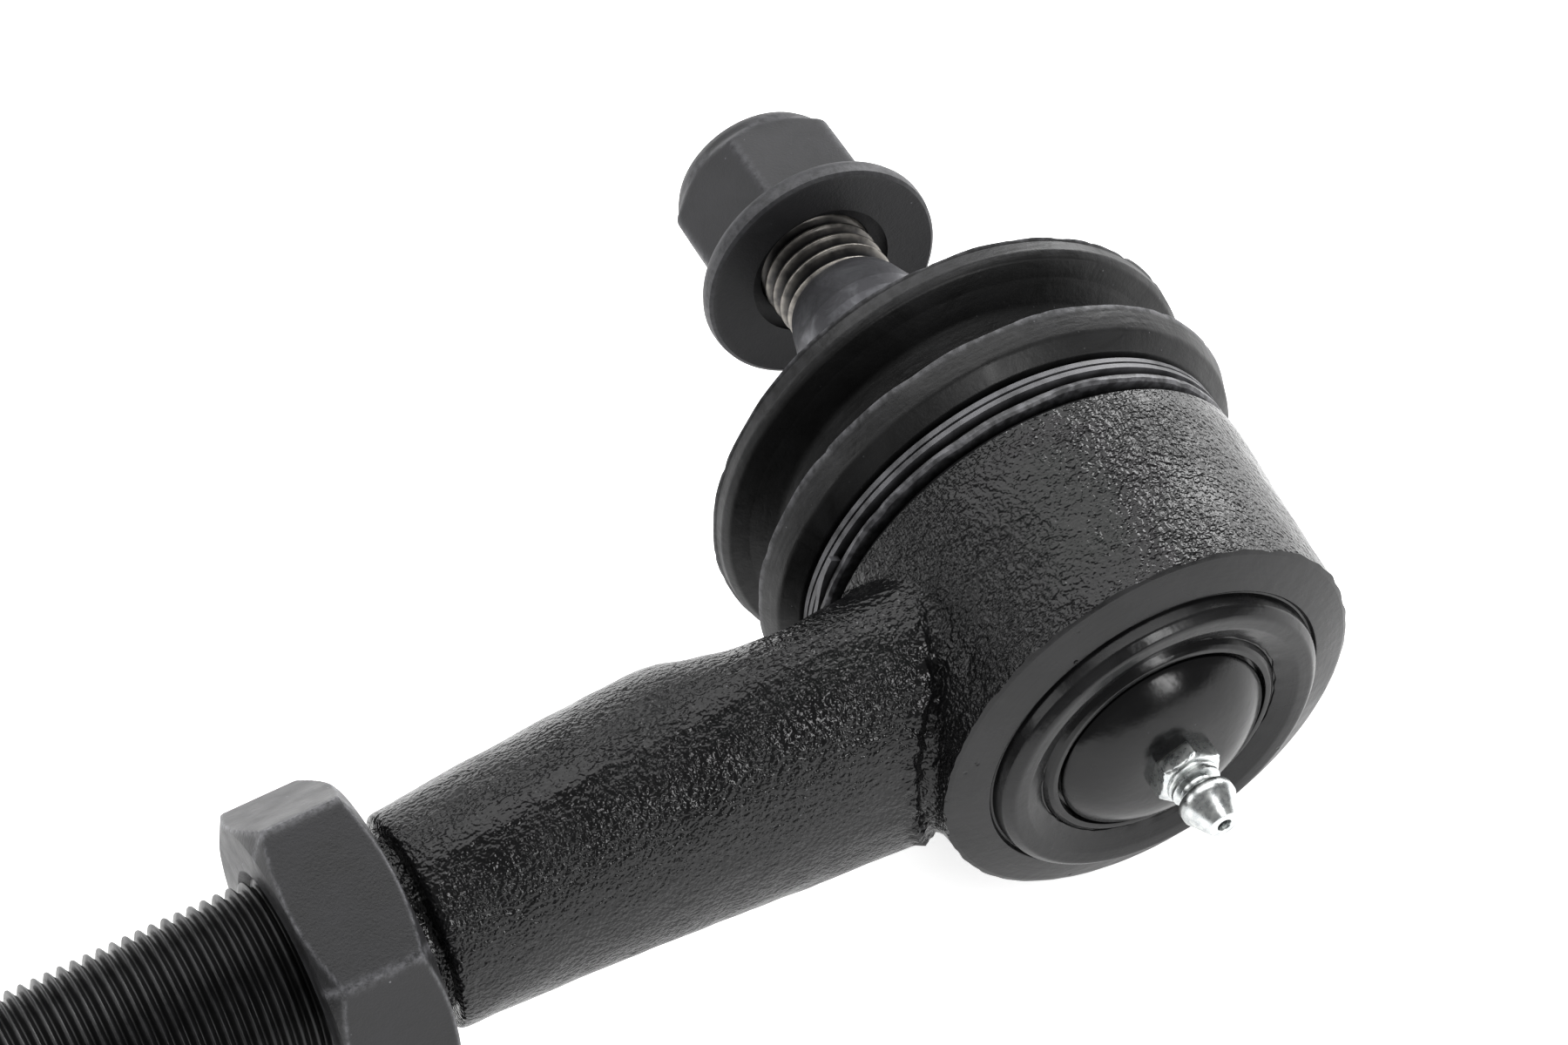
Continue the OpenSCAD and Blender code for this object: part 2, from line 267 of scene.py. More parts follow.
def addNode(tree, kind, inputs, out=0, **settings):
    # inputs are plain values or sockets to link, by name or number; gives back one output socket
    new = tree.nodes.new("ShaderNode" + kind)
    for key, value in settings.items():
        setattr(new, key, value)
    for key, value in inputs.items():
        if isinstance(value, bpy.types.NodeSocket):
            tree.links.new(value, new.inputs[key])
        else:
            new.inputs[key].default_value = value
    return new.outputs[out]


def startMaterial(name, settings):
    # a Principled shader with its plain values set, and the object's own coordinates in millimetres
    material = bpy.data.materials.new(name)
    material.use_nodes = True
    tree = material.node_tree
    for key, value in settings.items():
        tree.nodes["Principled BSDF"].inputs[key].default_value = value
    coords = addNode(tree, "TexCoord", {}, "Object")
    where = addNode(tree, "Mapping", {"Vector": coords, "Scale": (1000, 1000, 1000)})
    return material, tree, where


def finishMaterial(material, colour, roughness, normal):
    tree = material.node_tree
    shader = tree.nodes["Principled BSDF"]
    for key, socket in (("Base Color", colour), ("Roughness", roughness), ("Normal", normal)):
        tree.links.new(socket, shader.inputs[key])
    return material


def forgedEnamel():
    # black chassis enamel sprayed over scaly forged steel: a pebbled, half-gloss skin
    material, tree, where = startMaterial("chassis_enamel_on_forging", {"IOR": 1.5})
    pebbles = addNode(tree, "TexNoise", {
        "Vector": where, "Scale": 1 / 0.58, "Detail": 1.0, "Distortion": 0.1})  # spray grain, about 0.6 mm
    lumps = addNode(tree, "TexNoise", {"Vector": where, "Scale": 1 / 2.6, "Detail": 1.0})  # hammer scale
    patches = addNode(tree, "TexNoise", {"Vector": where, "Scale": 1 / 9.0, "Detail": 3.0})  # thickness
    flow = addNode(tree, "MapRange", {"Value": patches, "From Min": 0.38, "From Max": 0.6, "To Min": 0.6})
    raised = addNode(tree, "MapRange", {"Value": pebbles, "From Min": 0.24, "From Max": 0.8})
    height = addNode(tree, "Math", {0: raised, 1: flow}, operation="MULTIPLY")
    lumpy = addNode(tree, "Bump", {"Height": lumps, "Distance": 0.22 * mm})
    normal = addNode(tree, "Bump", {"Height": height, "Distance": 0.24 * mm, "Normal": lumpy})
    specks = addNode(tree, "TexVoronoi", {"Vector": where, "Scale": 1 / 2.6})
    dust = addNode(tree, "MapRange", {"Value": specks, "From Min": 0.05, "From Max": 0.03})
    share = addNode(tree, "MapRange", {"Value": patches, "From Min": 0.35, "From Max": 0.7})
    paint = addNode(tree, "Mix", {
        "Factor": share, 6: hexColour("#121213"), 7: hexColour("#1b1b1c")}, 2, data_type="RGBA")
    colour = addNode(tree, "Mix", {"Factor": dust, 6: paint, 7: hexColour("#56565a")}, 2, data_type="RGBA")
    roughness = addNode(tree, "MapRange", {
        "Value": patches, "From Min": 0.3, "From Max": 0.7, "To Min": 0.16, "To Max": 0.29})
    return finishMaterial(material, colour, roughness, normal)


def machinedEnamel():
    # the same enamel over turned steel: smooth and satin, with faint lathe rings and a few pin holes
    material, tree, where = startMaterial("chassis_enamel_on_turned_face", {"IOR": 1.5})
    flat = addNode(tree, "VectorMath", {0: where, 1: (1, 0, 1)}, operation="MULTIPLY")
    radius = addNode(tree, "VectorMath", {0: flat}, "Value", operation="LENGTH")
    rings = addNode(tree, "TexNoise", {"W": radius, "Scale": 1 / 0.45}, noise_dimensions="1D")  # tool feed
    ripple = addNode(tree, "TexNoise", {"Vector": where, "Scale": 1 / 1.6})
    cloud = addNode(tree, "TexNoise", {"Vector": where, "Scale": 1 / 7.0, "Detail": 3.0})
    pits = addNode(tree, "TexVoronoi", {"Vector": where, "Scale": 1 / 4.5})
    pit = addNode(tree, "MapRange", {"Value": pits, "From Min": 0.07, "From Max": 0.03})
    sunk = addNode(tree, "Math", {0: pit, 1: -1.0}, operation="MULTIPLY")
    rippled = addNode(tree, "Bump", {"Height": ripple, "Distance": 0.05 * mm})
    ringed = addNode(tree, "Bump", {"Height": rings, "Distance": 0.012 * mm, "Normal": rippled})
    normal = addNode(tree, "Bump", {"Height": sunk, "Distance": 0.08 * mm, "Normal": ringed})
    share = addNode(tree, "MapRange", {"Value": cloud, "From Min": 0.35, "From Max": 0.7})
    paint = addNode(tree, "Mix", {
        "Factor": share, 6: hexColour("#1a1a1b"), 7: hexColour("#272728")}, 2, data_type="RGBA")
    colour = addNode(tree, "Mix", {"Factor": pit, 6: paint, 7: hexColour("#0c0c0c")}, 2, data_type="RGBA")
    roughness = addNode(tree, "MapRange", {
        "Value": cloud, "From Min": 0.3, "From Max": 0.7, "To Min": 0.2, "To Max": 0.34})
    return finishMaterial(material, colour, roughness, normal)


def oxideThread():
    # black oxide on a rolled thread: dark flanks and slightly rubbed crests
    material, tree, where = startMaterial("black_oxide_rolled_thread", {"IOR": 1.5})
    wear_and_sheen = addNode(tree, "Attribute", {}, "Fac", attribute_name="wear_and_sheen")
    cloud = addNode(tree, "TexNoise", {"Vector": where, "Scale": 1 / 2.2, "Detail": 3.0})
    fine = addNode(tree, "TexNoise", {"Vector": where, "Scale": 1 / 0.5})
    patchy = addNode(tree, "MapRange", {"Value": cloud, "From Min": 0.35, "From Max": 0.65})
    rubbed = addNode(tree, "Math", {0: wear_and_sheen, 1: patchy}, operation="MULTIPLY")
    colour = addNode(tree, "Mix", {
        "Factor": rubbed, 6: hexColour("#131314"), 7: hexColour("#2c2c2d")}, 2, data_type="RGBA")
    roughness = addNode(tree, "MapRange", {
        "Value": cloud, "From Min": 0.3, "From Max": 0.7, "To Min": 0.3, "To Max": 0.45})
    normal = addNode(tree, "Bump", {"Height": fine, "Distance": 0.02 * mm})
    return finishMaterial(material, colour, roughness, normal)


def glossEnamel():
    # black enamel on pressed sheet: near mirror, with dust and soft orange peel
    material, tree, where = startMaterial("gloss_enamel_on_pressing", {"IOR": 1.5})
    peel = addNode(tree, "TexNoise", {"Vector": where, "Scale": 1 / 1.3})
    cloud = addNode(tree, "TexNoise", {"Vector": where, "Scale": 1 / 5.0, "Detail": 4.0, "Roughness": 0.6})
    specks = addNode(tree, "TexVoronoi", {"Vector": where, "Scale": 1 / 1.9})
    near = addNode(tree, "MapRange", {"Value": specks, "From Min": 0.05, "From Max": 0.03})
    settled = addNode(tree, "MapRange", {"Value": cloud, "From Min": 0.5, "From Max": 0.6})
    dust = addNode(tree, "Math", {0: near, 1: settled}, operation="MULTIPLY")
    colour = addNode(tree, "Mix", {
        "Factor": dust, 6: hexColour("#131314"), 7: hexColour("#5a5a5c")}, 2, data_type="RGBA")
    roughness = addNode(tree, "MapRange", {
        "Value": cloud, "From Min": 0.35, "From Max": 0.7, "To Min": 0.16, "To Max": 0.3})
    normal = addNode(tree, "Bump", {"Height": peel, "Distance": 0.03 * mm})
    return finishMaterial(material, colour, roughness, normal)


def mouldedNeoprene():
    # press-moulded neoprene: matte charcoal, smudges of mould release, lint, scuffing along the flash edges and a
    # painted highlight on the ridges' shoulder facets
    material, tree, where = startMaterial("moulded_neoprene", {"IOR": 1.52})
    wear_and_sheen = addNode(tree, "Attribute", {}, "Fac", attribute_name="wear_and_sheen")
    smudge = addNode(tree, "TexNoise", {
        "Vector": where, "Scale": 1 / 6.0, "Detail": 4.0, "Roughness": 0.6, "Distortion": 0.6})
    fine = addNode(tree, "TexNoise", {"Vector": where, "Scale": 1 / 0.5, "Detail": 3.0, "Roughness": 0.6})
    scratch = addNode(tree, "TexNoise", {"Vector": where, "Scale": 1 / 1.1, "Detail": 3.0})
    drawn = addNode(tree, "Mapping", {"Vector": where, "Scale": (0.25, 2.2, 0.25)})
    streaks = addNode(tree, "TexNoise", {"Vector": drawn, "Scale": 1 / 1.5})
    specks = addNode(tree, "TexVoronoi", {"Vector": where, "Scale": 1 / 1.7})
    near = addNode(tree, "MapRange", {"Value": specks, "From Min": 0.07, "From Max": 0.03})
    settled = addNode(tree, "MapRange", {"Value": smudge, "From Min": 0.45, "From Max": 0.6})
    dust = addNode(tree, "Math", {0: near, 1: settled}, operation="MULTIPLY")
    broken = addNode(tree, "MapRange", {"Value": scratch, "From Min": 0.4, "From Max": 0.6, "To Min": 0.35})
    # the point attribute times scratch noise: scuffing on the flash edges and a painted highlight on the ridges'
    # shoulder facets
    scuffs_and_sheen = addNode(tree, "Math", {0: wear_and_sheen, 1: broken}, operation="MULTIPLY", use_clamp=True)
    share = addNode(tree, "MapRange", {"Value": smudge, "From Min": 0.35, "From Max": 0.7})
    rubber = addNode(tree, "Mix", {
        "Factor": share, 6: hexColour("#121212"), 7: hexColour("#202021")}, 2, data_type="RGBA")
    rubber_scuffed_and_sheened = addNode(tree, "Mix", {
        "Factor": scuffs_and_sheen, 6: rubber, 7: hexColour("#747477")}, 2, data_type="RGBA")
    colour = addNode(tree, "Mix", {"Factor": dust, 6: rubber_scuffed_and_sheened, 7: hexColour("#6b6b6d")}, 2, data_type="RGBA")
    roughness = addNode(tree, "MapRange", {
        "Value": smudge, "From Min": 0.3, "From Max": 0.7, "To Min": 0.37, "To Max": 0.54})
    uneven = addNode(tree, "Bump", {"Height": smudge, "Distance": 0.12 * mm})
    streaked = addNode(tree, "Bump", {"Height": streaks, "Distance": 0.05 * mm, "Normal": uneven})
    normal = addNode(tree, "Bump", {"Height": fine, "Distance": 0.03 * mm, "Normal": streaked})
    return finishMaterial(material, colour, roughness, normal)


def springStrip():
    # blackened spring strip: satin, light along its sheared edges
    material, tree, where = startMaterial("blackened_spring_strip", {"IOR": 1.5})
    wear_and_sheen = addNode(tree, "Attribute", {}, "Fac", attribute_name="wear_and_sheen")
    cloud = addNode(tree, "TexNoise", {"Vector": where, "Scale": 1 / 2.5, "Detail": 3.0})
    fine = addNode(tree, "TexNoise", {"Vector": where, "Scale": 1 / 0.35})
    patchy = addNode(tree, "MapRange", {"Value": cloud, "From Min": 0.3, "From Max": 0.6, "To Min": 0.3})
    edge = addNode(tree, "Math", {0: wear_and_sheen, 1: patchy}, operation="MULTIPLY")
    colour = addNode(tree, "Mix", {
        "Factor": edge, 6: hexColour("#1a1a1b"), 7: hexColour("#6e6e71")}, 2, data_type="RGBA")
    roughness = addNode(tree, "MapRange", {
        "Value": cloud, "From Min": 0.3, "From Max": 0.7, "To Min": 0.32, "To Max": 0.5})
    normal = addNode(tree, "Bump", {"Height": fine, "Distance": 0.015 * mm})
    return finishMaterial(material, colour, roughness, normal)


def phosphate(name, dark, light, worn, dullness, pitDepth):
    # crystalline zinc phosphate on steel: dull grey with a dusty bloom, rubbed lighter on its edges
    material, tree, where = startMaterial(name, {"IOR": 1.5})
    wear_and_sheen = addNode(tree, "Attribute", {}, "Fac", attribute_name="wear_and_sheen")
    bloom = addNode(tree, "TexNoise", {
        "Vector": where, "Scale": 1 / 4.5, "Detail": 4.0, "Roughness": 0.6, "Distortion": 0.3})
    # the real crystals are a few hundredths across and too fine to show, so these are 0.3 mm
    crystal = addNode(tree, "TexNoise", {"Vector": where, "Scale": 1 / 0.3, "Roughness": 0.6})
    marks = addNode(tree, "TexNoise", {"Vector": where, "Scale": 1 / 0.9, "Detail": 3.0, "Roughness": 0.7})
    patchy = addNode(tree, "MapRange", {"Value": marks, "From Min": 0.35, "From Max": 0.62, "To Min": 0.15})
    edge = addNode(tree, "Math", {0: wear_and_sheen, 1: patchy}, operation="MULTIPLY")
    specks = addNode(tree, "TexVoronoi", {"Vector": where, "Scale": 1 / 2.4})
    near = addNode(tree, "MapRange", {"Value": specks, "From Min": 0.06, "From Max": 0.03})
    settled = addNode(tree, "MapRange", {"Value": bloom, "From Min": 0.45, "From Max": 0.6})
    dust = addNode(tree, "Math", {0: near, 1: settled}, operation="MULTIPLY")
    share = addNode(tree, "MapRange", {"Value": bloom, "From Min": 0.35, "From Max": 0.68})
    coat = addNode(tree, "Mix", {
        "Factor": share, 6: hexColour(dark), 7: hexColour(light)}, 2, data_type="RGBA")
    rubbed = addNode(tree, "Mix", {"Factor": edge, 6: coat, 7: hexColour(worn)}, 2, data_type="RGBA")
    colour = addNode(tree, "Mix", {"Factor": dust, 6: rubbed, 7: hexColour("#8c8c90")}, 2, data_type="RGBA")
    roughness = addNode(tree, "MapRange", {
        "Value": bloom, "From Min": 0.3, "From Max": 0.7,
        "To Min": dullness - 0.06, "To Max": dullness + 0.08})
    marked = addNode(tree, "Bump", {"Height": marks, "Distance": 0.03 * mm})
    normal = addNode(tree, "Bump", {"Height": crystal, "Distance": pitDepth * mm, "Normal": marked})
    return finishMaterial(material, colour, roughness, normal)


def wornStud():
    # turned and phosphated stud: grey coat with paler rubbed patches where it has been handled
    material, tree, where = startMaterial("phosphated_turned_stud", {"Metallic": 0.75})
    patch = addNode(tree, "TexNoise", {
        "Vector": where, "Scale": 1 / 3.2, "Detail": 4.0, "Roughness": 0.6, "Distortion": 0.5})
    drawn = addNode(tree, "Mapping", {"Vector": where, "Scale": (0.1, 6.0, 0.1)})
    turned = addNode(tree, "TexNoise", {"Vector": drawn, "Scale": 1.0})
    bright = addNode(tree, "MapRange", {"Value": patch, "From Min": 0.45, "From Max": 0.7})
    colour = addNode(tree, "Mix", {
        "Factor": bright, 6: hexColour("#5b5b5e"), 7: hexColour("#808184")}, 2, data_type="RGBA")
    roughness = addNode(tree, "MapRange", {
        "Value": patch, "From Min": 0.4, "From Max": 0.66, "To Min": 0.5, "To Max": 0.34})
    uneven = addNode(tree, "Bump", {"Height": patch, "Distance": 0.06 * mm})
    normal = addNode(tree, "Bump", {"Height": turned, "Distance": 0.01 * mm, "Normal": uneven})
    return finishMaterial(material, colour, roughness, normal)


def rolledStudThread():
    # rolled thread with oil in its roots and bare, slightly warm crests
    material, tree, where = startMaterial("oiled_rolled_thread", {"Metallic": 0.8})
    wear_and_sheen = addNode(tree, "Attribute", {}, "Fac", attribute_name="wear_and_sheen")
    cloud = addNode(tree, "TexNoise", {"Vector": where, "Scale": 1 / 1.5, "Detail": 3.0})
    fine = addNode(tree, "TexNoise", {"Vector": where, "Scale": 1 / 0.4})
    patchy = addNode(tree, "MapRange", {"Value": cloud, "From Min": 0.3, "From Max": 0.6, "To Min": 0.3})
    rubbed = addNode(tree, "Math", {0: wear_and_sheen, 1: patchy}, operation="MULTIPLY")
    colour = addNode(tree, "Mix", {
        "Factor": rubbed, 6: hexColour("#3e3e40"), 7: hexColour("#a8a49e")}, 2, data_type="RGBA")
    roughness = addNode(tree, "MapRange", {
        "Value": cloud, "From Min": 0.3, "From Max": 0.7, "To Min": 0.3, "To Max": 0.46})
    normal = addNode(tree, "Bump", {"Height": fine, "Distance": 0.015 * mm})
    return finishMaterial(material, colour, roughness, normal)


def zincPlate():
    # bright zinc over a turned steel bar: pale silver with fine tool rings round the axis
    material, tree, where = startMaterial("bright_zinc_on_turned_steel", {"Metallic": 1.0})
    drawn = addNode(tree, "Mapping", {"Vector": where, "Scale": (0.15, 9.0, 0.15)})
    turned = addNode(tree, "TexNoise", {"Vector": drawn, "Scale": 1.0, "Detail": 3.0})
    cloud = addNode(tree, "TexNoise", {"Vector": where, "Scale": 1 / 0.9, "Detail": 3.0, "Roughness": 0.6})
    share = addNode(tree, "MapRange", {"Value": cloud, "From Min": 0.35, "From Max": 0.7})
    colour = addNode(tree, "Mix", {
        "Factor": share, 6: hexColour("#b9bcbd"), 7: hexColour("#dfe1df")}, 2, data_type="RGBA")
    roughness = addNode(tree, "MapRange", {
        "Value": cloud, "From Min": 0.3, "From Max": 0.7, "To Min": 0.24, "To Max": 0.34})
    uneven = addNode(tree, "Bump", {"Height": cloud, "Distance": 0.004 * mm})
    normal = addNode(tree, "Bump", {"Height": turned, "Distance": 0.004 * mm, "Normal": uneven})
    return finishMaterial(material, colour, roughness, normal)


def springSteel():
    # bright drawn or rolled spring steel, faintly streaked
    material, tree, where = startMaterial("bright_spring_steel", {"Metallic": 1.0})
    drawn = addNode(tree, "Mapping", {"Vector": where, "Scale": (0.2, 4.0, 0.2)})
    streak = addNode(tree, "TexNoise", {"Vector": drawn, "Scale": 1 / 0.8, "Detail": 3.0})
    colour = addNode(tree, "Mix", {
        "Factor": streak, 6: hexColour("#77787b"), 7: hexColour("#a3a4a7")}, 2, data_type="RGBA")
    roughness = addNode(tree, "MapRange", {
        "Value": streak, "From Min": 0.3, "From Max": 0.7, "To Min": 0.22, "To Max": 0.38})
    normal = addNode(tree, "Bump", {"Height": streak, "Distance": 0.01 * mm})
    return finishMaterial(material, colour, roughness, normal)


def mouldedPlastic(name, dark, light):
    # natural engineering plastic, injection moulded and greased: waxy and slightly see-through
    material, tree, where = startMaterial(name, {
        "IOR": 1.48, "Subsurface Weight": 0.15, "Subsurface Radius": (0.002, 0.0017, 0.0012)})
    cloud = addNode(tree, "TexNoise", {"Vector": where, "Scale": 1 / 2.6, "Detail": 3.0})
    fine = addNode(tree, "TexNoise", {"Vector": where, "Scale": 1 / 0.5})
    colour = addNode(tree, "Mix", {
        "Factor": cloud, 6: hexColour(dark), 7: hexColour(light)}, 2, data_type="RGBA")
    roughness = addNode(tree, "MapRange", {
        "Value": cloud, "From Min": 0.3, "From Max": 0.7, "To Min": 0.28, "To Max": 0.46})
    normal = addNode(tree, "Bump", {"Height": fine, "Distance": 0.01 * mm})
    return finishMaterial(material, colour, roughness, normal)


mats = {
    "forging": forgedEnamel(),
    "turnedFace": machinedEnamel(),
    "shankThread": oxideThread(),
    "plate": glossEnamel(),
    "rubber": mouldedNeoprene(),
    "strip": springStrip(),
    "flangeNut": phosphate("dark_zinc_phosphate_nut", "#353537", "#3e3e40", "#5c5c5f", 0.5, 0.03),
    "jamNut": phosphate("grey_zinc_phosphate_jam_nut", "#2c2c2d", "#363638", "#717174", 0.42, 0.04),
    "stud": wornStud(),
    "studThread": rolledStudThread(),
    "zinc": zincPlate(),
    "spring": springSteel(),
    "seat": mouldedPlastic("greased_moulded_acetal", "#b3ab92", "#c9c2a9"),
    "nylon": mouldedPlastic("natural_nylon", "#cfc8b4", "#ddd8c8"),
}
housingSkins = [mats["forging"], mats["turnedFace"], mats["shankThread"]]
print("made", len(mats), "materials")


# forged housing: head, arm and threaded shank, in millimetres from the ball's centre
housing = {
    "headLow": 24.95, "headTop": 26.4, "rimY": 16.8, "shoulderY": 7.6, "headEndY": 14.4,
    "armEnd": -80.2, "partingY": -1.8, "stripHalf": 1.8, "voxel": 0.5,
    "socket": 16.5, "counterbore": 17.5, "plateBack": 16.6,
    "lipInner": 14.5, "lipOuter": 19.9, "shelfY": 6.6, "mouthInner": 13.0, "mouthOuter": 16.3,
}

# along the arm: place, edge towards the stud, edge towards the nipple, half height
armOutline = [
    (-80.2, 11.7, -12.3, 13.2), (-66, 12.4, -12.2, 14.6), (-58, 12.9, -12.4, 15.5), (-50, 13.1, -12.7, 16.3),
    (-46.5, 12.9, -12.9, 16.7), (-42, 10.6, -13.1, 17.2), (-38, 8.6, -13.4, 17.6), (-33, 7.6, -13.7, 17.9),
    (-26, 8.6, -14.2, 18.0), (-16, 9.4, -14.6, 18.0), (-6, 9.4, -14.6, 17.0),
]


def armSection(x):
    top, bottom, half = between(armOutline, x)
    parting = housing["partingY"]
    edge = max(0.0, 1 - (x - housing["armEnd"]) / 0.6)
    inset = 0.6 * (1 - math.sqrt(1 - edge * edge))  # the end face's rounded edge
    ring = []
    for k in range(72):
        angle = 2 * math.pi * k / 72
        width = top - parting if math.cos(angle) > 0 else parting - bottom
        y = parting + (width - inset) * math.cos(angle)
        z = (half - inset) * math.sin(angle)
        ring.append(Vector((x, y, z)))
    return ring


def forgedBlank():
    # the arm and the head's drum, melted together by a voxel remesh
    bm = newBmesh()
    start = housing["armEnd"]
    stations = [start, start + 0.25, start + 0.6, start + 1.2] + [start + 2 + 1.5 * i for i in range(49)]
    sweep(bm, stations, armSection)
    side = [(0, -21.5), (housing["headLow"] - 0.1, -21.5), (housing["headLow"], -15), (25.6, -5),
            (housing["headTop"], 4.6), (housing["headTop"], 15.5), (0, 15.5)]
    turn(bm, lambda angle: side, 160)
    blank = makePiece("forged_housing", bm, housingSkins, 180)
    remesh = blank.modifiers.new("blend", "REMESH")
    remesh.mode = "VOXEL"
    remesh.voxel_size = housing["voxel"] * mm
    remesh.use_smooth_shade = True
    soften = blank.modifiers.new("soften", "SMOOTH")
    soften.factor = 0.5
    soften.iterations = 4
    applied(blank)
    return blank


def roughen(blank):
    # hammer lumps of the forging, the trimmed flash strip along the arm, and scale in the crease
    verts = blank.data.vertices
    places = [v.co.copy() for v in verts]
    outward = [v.normal.copy() for v in verts]
    moved = []
    for here, normal in zip(places, outward):
        p = here / mm
        push = 0.14 * noise.noise(p / 8.0) + 0.07 * noise.noise(p / 2.6)
        onArm = smooth(-24, -30, p.x) * smooth(-80, -78, p.x)
        if abs(p.z) > 8:
            off = abs(p.y - housing["partingY"] + 0.4)
            strip = 1 - smooth(housing["stripHalf"] - 0.2, housing["stripHalf"] + 0.2, off)
            push += 0.17 * strip * onArm
        crease = smooth(-14, -18, p.x) * smooth(3, -2, p.y) * smooth(21, 15, abs(p.z))
        if crease > 0:
            off = math.hypot(p.x, p.z) - 26.0 + 0.7 * noise.noise(p / 3.0)
            push -= crease * 0.6 * math.exp(-(off / 0.55) ** 2)
            push += crease * (0.2 + 0.8 * noise.noise(p / 1.3)) * math.exp(-((off - 1.3) / 0.8) ** 2)
        edge = smooth(-15.2, -16.6, p.y) * smooth(23, 24, math.hypot(p.x, p.z))
        push += edge * 0.25 * noise.noise(p / 1.8)
        moved.extend(here + normal * push * mm)
    verts.foreach_set("co", moved)
    blank.data.update()


def machiningCutter():
    # everything that is turned away: the end face, the rolled lip, the socket and the mouth
    h = housing
    lip = [(h["lipOuter"] + 0.35, -h["rimY"] - 1.3, 0.15), (h["lipOuter"] + 0.1, -h["rimY"] - 0.8, 0.1),
           (h["lipOuter"] - 0.2, -h["rimY"] - 0.9, 0.1), (19.45, -19.4, 0.7), (18.5, -20.3, 0.9),
           (16.8, -20.2, 1.3), (15.3, -19.5, 0.6), (h["lipInner"], -19.1, 0.15), (h["lipInner"], -18.9)]
    outline = [(0, -30), (40, -30), (40, -h["rimY"] + 0.45), (h["headLow"] + 0.3, -h["rimY"] + 0.45),
               (h["headLow"] - 0.5, -h["rimY"], 0.3)] + lip + [
        (h["counterbore"], -18.9), (h["counterbore"], -h["plateBack"]), (h["socket"], -h["plateBack"]),
        (h["socket"], h["shelfY"]), (h["mouthInner"], h["shelfY"]), (h["mouthOuter"], h["headEndY"]),
        (h["mouthOuter"], 20), (0, 20)]
    points = rounded(outline)

    def ragged(angle):
        # paint has run and broken along the lip's inner edge
        around = Vector((math.cos(angle), math.sin(angle), 0))
        run = 0.22 * noise.noise(around * 9) + 0.3 * max(0.0, noise.noise(around * 4 + Vector((3, 0, 0))))
        turned = []
        for radius, height in points:
            atEdge = smooth(15.6, 14.6, radius) * smooth(12.5, 14.4, radius) * smooth(-18, -19, height)
            turned.append((radius - run * atEdge, height))
        return turned

    bm = newBmesh()
    turn(bm, ragged, 256, material=1)
    return makePiece("end_cutter", bm, housingSkins)


def bootSeatCutter():
    # what is turned away above the shoulder, round the neck that holds the boot's bead
    h = housing
    seat = h["headTop"] - 3
    outline = [(40, 20), (40, h["shoulderY"] - 1.0), (h["headTop"] + 0.4, h["shoulderY"] - 1.0),
               (h["headTop"] - 0.6, h["shoulderY"], 0.3), (h["headTop"] - 1.6, h["shoulderY"] + 0.7, 0.3),
               (seat, h["shoulderY"] + 1), (seat, h["shoulderY"] + 5.4), (seat + 0.9, h["shoulderY"] + 5.4),
               (seat + 0.9, h["headEndY"] - 0.5), (seat + 0.2, h["headEndY"]), (0, h["headEndY"]), (0, 20)]
    points = rounded(outline)
    bm = newBmesh()
    turn(bm, lambda angle: points, 160, material=1)
    return makePiece("seat_cutter", bm, housingSkins)


shank = {"start": 81.5, "end": 160.2, "radius": 11.0, "pitch": 1.5, "fade": 2.0, "chamfer": 1.2,
         "rootRadius": 10.3, "rootStart": 78.0, "rootEnd": 82.0}  # the root ties the thread into the arm


def makeHousing():
    blank = forgedBlank()
    roughen(blank)
    print("blank", len(blank.data.polygons))
    cutBy(blank, machiningCutter())
    cutBy(blank, bootSeatCutter())
    markSharp(blank.data, 34)
    root = [(0, shank["rootStart"]), (shank["rootRadius"], shank["rootStart"]),
            (shank["rootRadius"], shank["rootEnd"]), (0, shank["rootEnd"])]
    bm = newBmesh()
    addThread(bm, shank, 2, 72)
    turn(bm, lambda angle: root, 72)
    toShank = Matrix.Rotation(math.radians(90), 4, "Z")  # +Y turned to -X
    thread = makePiece("shank_thread", bm, housingSkins, 60, toShank)
    joined = bmesh.new()
    joined.from_mesh(blank.data)
    joined.from_mesh(thread.data)
    joined.to_mesh(blank.data)
    joined.free()
    bpy.data.objects.remove(thread)
    place(blank, "housing", "housing")


# closing plate with its dome
plate = {"top": 19.0, "thick": 2.4, "land": 19.8, "domeEdge": 12.5, "crown": 23.6, "hole": 3.0, "rim": 17.45}


def makePlate():
    p = plate
    dome = arcBetween((p["domeEdge"] - 0.3, -p["land"] - 0.35), (4.4, -p["crown"]), -0.85, 16)
    under = arcBetween((4.4, -p["crown"] + p["thick"]), (p["domeEdge"] - 1.6, -17.2), 0.6, 8)
    back = -16.65  # against the counterbore's floor
    outline = [(p["hole"], back), (p["rim"], back), (p["rim"], -p["top"] + 0.02), (14.3, -p["top"] + 0.02),
               (13.9, -p["land"] + 0.3, 0.2), (13.5, -p["land"], 0.3),
               (p["domeEdge"] + 0.35, -p["land"], 0.15),
               (p["domeEdge"] + 0.1, -p["land"] + 1.3), (p["domeEdge"] - 0.35, -p["land"] + 1.3),
               (p["domeEdge"] - 0.1, -p["land"] + 0.1, 0.15)] + dome + [
        (p["hole"], -p["crown"]), (p["hole"], -p["crown"] + p["thick"])] + under + [
        (p["domeEdge"] - 1.2, back)]
    points = rounded(outline)
    bm = newBmesh()
    turn(bm, lambda angle: points, 192)
    place(makePiece("closing_plate_skin", bm, [mats["plate"]], 30), "housing", "closing_plate")


